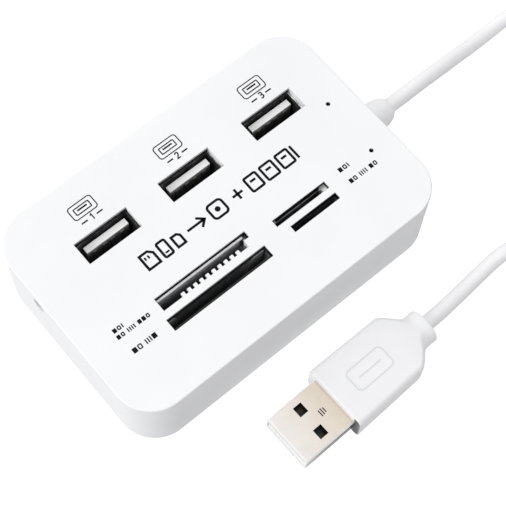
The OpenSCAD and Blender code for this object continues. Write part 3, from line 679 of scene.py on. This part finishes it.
def hole_shade_mesh():
    """Near-black discs just under the two pin-holes, as painted shade in them."""
    bm_ = bmesh.new()
    for x, y in ((33.8, 5.1), (33.6, -8.9)):
        rings = []
        for r_, z_ in ((0.4, 17.6), (0.47, 17.66), (0.47, 18.7), (0.42, 18.78), (0.2, 18.8)):
            rings.append([mm(x + r_ * math.cos(2 * math.pi * k_ / 24), y + r_ * math.sin(2 * math.pi * k_ / 24), z_) for k_ in range(24)])
        loft(bm_, rings)
    return bm_


mesh_object("indicator_lenses", hole_shade_mesh(), MAT["lens"], 40)

# ---------------------------------------------------------------- printed marks
# Each mark is a thin film of ink on the top, drawn as strokes.

TOP = 19.0
FILM = 0.012


def stroke(bm, pts, w, closed=False):
    """A line of even width through pts, in millimetres on the top."""
    p = [Vector((x, y)) for x, y in pts]
    n = len(p)
    left, rightv = [], []
    for i in range(n):
        a_ = p[i - 1] if (closed or i > 0) else None
        c_ = p[(i + 1) % n] if (closed or i < n - 1) else None
        d1 = (p[i] - a_).normalized() if a_ is not None else None
        d2 = (c_ - p[i]).normalized() if c_ is not None else None
        if d1 is None:
            nrm, k = Vector((-d2.y, d2.x)), 1.0
        elif d2 is None:
            nrm, k = Vector((-d1.y, d1.x)), 1.0
        else:
            t_ = d1 + d2
            t_ = t_.normalized() if t_.length > 1e-6 else d1
            nrm = Vector((-t_.y, t_.x))
            k = 1.0 / max(0.5, nrm.dot(Vector((-d1.y, d1.x))))
        left.append(p[i] + nrm * (w / 2 * k))
        rightv.append(p[i] - nrm * (w / 2 * k))
    def v(q, z):
        return bm.verts.new((q.x * MM, q.y * MM, z * MM))
    L1 = [v(q, TOP + FILM) for q in left]
    R1 = [v(q, TOP + FILM) for q in rightv]
    L0 = [v(q, TOP - 0.02) for q in left]
    R0 = [v(q, TOP - 0.02) for q in rightv]
    last = n if closed else n - 1
    for i in range(last):
        j = (i + 1) % n
        bm.faces.new((R1[i], R1[j], L1[j], L1[i]))
        bm.faces.new((L0[i], L0[j], R0[j], R0[i]))
        bm.faces.new((L1[i], L1[j], L0[j], L0[i]))
        bm.faces.new((R0[i], R0[j], R1[j], R1[i]))
    if not closed:
        bm.faces.new((L1[0], L0[0], R0[0], R1[0]))
        bm.faces.new((L1[-1], R1[-1], R0[-1], L0[-1]))


def area(bm, pts):
    """A filled outline of ink."""
    top = [bm.verts.new((x * MM, y * MM, (TOP + FILM) * MM)) for x, y in pts]
    low = [bm.verts.new((x * MM, y * MM, (TOP - 0.02) * MM)) for x, y in pts]
    bm.faces.new(top)
    bm.faces.new(list(reversed(low)))
    n = len(pts)
    for i in range(n):
        j = (i + 1) % n
        bm.faces.new((low[i], low[j], top[j], top[i]))


def rr(cx, cy, w, h, r, n=6):
    pts = []
    for sx, sy, a0 in ((1, 1, 0), (-1, 1, 90), (-1, -1, 180), (1, -1, 270)):
        for k in range(n + 1):
            a_ = math.radians(a0 + 90 * k / n)
            pts.append((cx + sx * (w / 2 - r) + r * math.cos(a_), cy + sy * (h / 2 - r) + r * math.sin(a_)))
    return pts


def ring(cx, cy, r, n=28):
    return [(cx + r * math.cos(2 * math.pi * k / n), cy + r * math.sin(2 * math.pi * k / n)) for k in range(n)]


# strokes of the plain figures, on a grid one high
FIGURES = {
    "1": [[(0.12, 0.76), (0.38, 1.0), (0.38, 0.0)]],
    "2": [[(0.04, 0.78), (0.12, 0.93), (0.28, 1.0), (0.44, 0.95), (0.53, 0.8), (0.5, 0.62), (0.36, 0.42), (0.04, 0.0), (0.56, 0.0)]],
    "3": [[(0.05, 0.88), (0.18, 0.98), (0.34, 1.0), (0.48, 0.92), (0.52, 0.76), (0.44, 0.6), (0.26, 0.54), (0.46, 0.47), (0.56, 0.3),
           (0.5, 0.12), (0.34, 0.01), (0.16, 0.01), (0.03, 0.12)]],
}


def figure(bm, ch, x, y, h, w):
    for line in FIGURES[ch]:
        stroke(bm, [(x + u * h, y + v_ * h) for u, v_ in line], w)


def port_mark(name, cx, cy, number):
    bm = bmesh.new()
    stroke(bm, rr(cx, cy, 5.75, 3.25, 0.65), 0.25, closed=True)
    # a plain side view of a port: an open box with a bar in it
    stroke(bm, rr(cx, cy, 3.7, 1.5, 0.14), 0.27, closed=True)
    area(bm, [(cx - 1.2, cy - 0.08), (cx + 1.2, cy - 0.08), (cx + 1.2, cy + 0.3), (cx - 1.2, cy + 0.3)])
    # label line: a plain number between short bars
    ly = cy - 3.45
    figure(bm, number, cx - 0.02, ly - 0.05, 1.4, 0.3)
    stroke(bm, [(cx - 2.3, ly + 0.6), (cx - 0.8, ly + 0.6)], 0.34)
    stroke(bm, [(cx + 1.5, ly + 0.6), (cx + 3.0, ly + 0.6)], 0.34)
    return mesh_object(name, bm, MAT["ink"])


port_mark("print_port_1", -20.9, 18.72, "1")
port_mark("print_port_2", 1.2, 18.6, "2")
port_mark("print_port_3", 23.8, 18.45, "3")


def card_outline(cx, cy, w, h, cut):
    """A memory card's outline with one corner cut off."""
    x0, x1, y0, y1 = cx - w / 2, cx + w / 2, cy - h / 2, cy + h / 2
    return [(x0, y0), (x1, y0), (x1, y1 - cut), (x1 - cut, y1), (x0, y1)]


def band():
    bm = bmesh.new()
    W = 0.56
    y = 1.05
    # wide card with stripes
    stroke(bm, card_outline(-17.3, y, 2.9, 3.5, 0.9), W, closed=True)
    stroke(bm, [(-18.0, y + 1.0), (-18.0, y + 0.2)], 0.4)
    stroke(bm, [(-17.2, y + 1.0), (-17.2, y + 0.2)], 0.4)
    # stick-shaped card
    stroke(bm, rr(-13.5, y, 2.0, 3.6, 0.35), W, closed=True)
    stroke(bm, [(-14.0, y - 0.9), (-13.0, y - 0.9)], 0.4)
    # miniature card
    stroke(bm, card_outline(-10.2, y - 0.3, 1.9, 2.6, 0.6), W, closed=True)
    # arrow right
    stroke(bm, [(-7.6, y), (-3.2, y)], W)
    stroke(bm, [(-4.6, y + 1.25), (-3.15, y), (-4.6, y - 1.25)], W)
    # square with rounded corners and a dot: the reader
    stroke(bm, rr(0.3, y, 3.6, 3.5, 0.8), W, closed=True)
    area(bm, ring(0.3, y, 0.62))
    # sign between the two groups
    stroke(bm, [(4.3, y), (6.9, y)], W)
    stroke(bm, [(5.6, y + 1.3), (5.6, y - 1.3)], W)
    # three ports in a row
    for k, x in enumerate((10.0, 14.2, 18.4)):
        stroke(bm, rr(x, y, 3.0, 3.5, 0.3), W, closed=True)
        stroke(bm, [(x - 0.7, y + 0.45), (x + 0.7, y + 0.45)], 0.55)
    stroke(bm, [(20.9, y + 1.7), (20.9, y - 1.7)], W)
    return mesh_object("print_band", bm, MAT["ink"])


band()


def slot_marks():
    bm = bmesh.new()

    def row(x, y, kinds, w, h, gap, line):
        """A row of small plain shapes: s block, o open square, i tick, and a space."""
        for kind in kinds:
            if kind == "o":
                stroke(bm, rr(x + w / 2, y, w - line, h - line, 0.12), line, closed=True)
            elif kind == "s":
                area(bm, [(x, y - h / 2), (x + w, y - h / 2), (x + w, y + h / 2), (x, y + h / 2)])
            elif kind == "i":
                stroke(bm, [(x + line / 2, y - h / 2), (x + line / 2, y + h / 2)], line)
                x += line + gap
                continue
            elif kind == " ":
                x += gap * 2.2
                continue
            x += w + gap

    # beside the second slot, two rows
    row(-32.55, -6.5, "soi", 0.84, 0.95, 0.24, 0.27)
    row(-32.7, -8.05, "so iiii sso", 0.8, 0.95, 0.24, 0.27)
    # beside the widest slot
    row(-32.0, -12.2, "so iiis", 1.0, 1.15, 0.28, 0.27)
    # beside the two small slots
    row(25.15, -8.2, "soi", 0.9, 1.05, 0.28, 0.28)
    row(25.3, -11.5, "so iiii so", 0.84, 1.05, 0.26, 0.27)
    return mesh_object("print_slots", bm, MAT["ink"])


slot_marks()


def raised(name, lines, z0, z1, mat, w):
    """Strokes on the plug, in its own frame, from z0 up to z1 above its middle."""
    global TOP, FILM
    keep = TOP, FILM
    TOP, FILM = z0, z1 - z0
    bm_ = bmesh.new()
    for pts, closed in lines:
        stroke(bm_, pts, w, closed=closed)
    TOP, FILM = keep
    turn = PLUG_T.copy()
    bmesh.ops.transform(bm_, matrix=turn, verts=bm_.verts)
    return mesh_object(name, bm_, mat)


MAT["emblem"] = moulded("emblem_painted_shade", (0.63, 0.63, 0.64), (0.68, 0.68, 0.69), rough=(0.4, 0.5), grain=7000, bump=0.07)
# a plain emblem, raised on the overmould and painted grey as painted shade to show its relief, and three short bars
# stamped in the shell, painted dark as painted shade
raised("plug_emblem", [(rr(9.6, -0.1, 9.6, 5.0, 1.1), True), ([(6.6, -0.1), (12.6, -0.1)], False)], 3.99, 4.06, MAT["emblem"], 0.3)
raised("plug_stamp", [([(-3.95, 0.75 - 0.16), (-3.95, -0.95)], False), ([(-3.4, 0.7), (-3.4, -0.9)], False), ([(-2.85, 0.5), (-2.85, -0.7)], False)],
       2.245, 2.256, MAT["dim"], 0.26)

# ---------------------------------------------------------------- stage and light


def stage_material(name, seen, cast, diffuse):
    mat = bpy.data.materials.new(name)
    mat.use_nodes = True
    nt_ = mat.node_tree
    nt_.nodes.clear()
    out = nt_.nodes.new("ShaderNodeOutputMaterial")
    em = nt_.nodes.new("ShaderNodeEmission")
    em.inputs["Color"].default_value = (1, 1, 1, 1)
    lp = nt_.nodes.new("ShaderNodeLightPath")
    mr = nt_.nodes.new("ShaderNodeMapRange")
    mr.inputs["To Min"].default_value = cast
    mr.inputs["To Max"].default_value = seen
    nt_.links.new(lp.outputs["Is Camera Ray"], mr.inputs["Value"])
    nt_.links.new(mr.outputs["Result"], em.inputs["Strength"])
    df = nt_.nodes.new("ShaderNodeBsdfDiffuse")
    df.inputs["Color"].default_value = (diffuse, diffuse, diffuse, 1)
    ad = nt_.nodes.new("ShaderNodeAddShader")
    nt_.links.new(em.outputs[0], ad.inputs[0])
    nt_.links.new(df.outputs[0], ad.inputs[1])
    nt_.links.new(ad.outputs[0], out.inputs["Surface"])
    return mat


bm = bmesh.new()
bmesh.ops.create_grid(bm, x_segments=1, y_segments=1, size=6.0)
me = bpy.data.meshes.new("floor")
bm.to_mesh(me)
bm.free()
floor = link(bpy.data.objects.new("floor", me))
floor.location = (0, 0, -0.0001)
me.materials.append(stage_material("floor_white", 1.0, 0.60, 0.12))

world = bpy.data.worlds.new("studio")
scene.world = world
world.use_nodes = True
nt = world.node_tree
nt.nodes.clear()
out = nt.nodes.new("ShaderNodeOutputWorld")
bg = nt.nodes.new("ShaderNodeBackground")
tc = nt.nodes.new("ShaderNodeTexCoord")
sep = nt.nodes.new("ShaderNodeVectorMath")
sep.operation = "DOT_PRODUCT"
nt.links.new(tc.outputs["Generated"], sep.inputs[0])
sep.inputs[1].default_value = (-0.35, 0.75, 0.56)
half = add(nt, "ShaderNodeMapRange")
half.inputs["From Min"].default_value = -1.0
half.inputs["From Max"].default_value = 1.0
nt.links.new(sep.outputs["Value"], half.inputs["Value"])
r = ramp(nt, half.outputs["Result"], [(0.1, (0.12, 0.12, 0.145)), (0.225, (0.2, 0.2, 0.235)), (0.36, (0.45, 0.45, 0.48)), (0.5, (0.75, 0.75, 0.765)), (0.65, (0.94, 0.94, 0.94)), (1.0, (0.98, 0.98, 0.98))])
nt.links.new(r.outputs["Color"], bg.inputs["Color"])
bg.inputs["Strength"].default_value = 1.0
nt.links.new(bg.outputs[0], out.inputs["Surface"])


def softbox(name, at, size, power, aim=(0, 0, 0.01)):
    ld = bpy.data.lights.new(name, "AREA")
    ld.shape = "RECTANGLE"
    ld.size, ld.size_y = size
    ld.energy = power
    ob = link(bpy.data.objects.new(name, ld))
    ob.location = at
    ob.rotation_euler = (Vector(aim) - Vector(at)).to_track_quat("-Z", "Y").to_euler()
    ob.visible_glossy = False
    return ob


softbox("box_left", (-0.95, 0.2, 0.5), (0.8, 0.6), 4.7)
softbox("box_top", (0.1, 0.5, 1.1), (1.0, 0.7), 1.2)
softbox("box_front", (0.05, -0.5, 0.98), (0.6, 0.5), 1.3)

scene.view_settings.view_transform = "Standard"
scene.view_settings.look = "None"
scene.view_settings.exposure = 0.0
scene.view_settings.gamma = 1.0
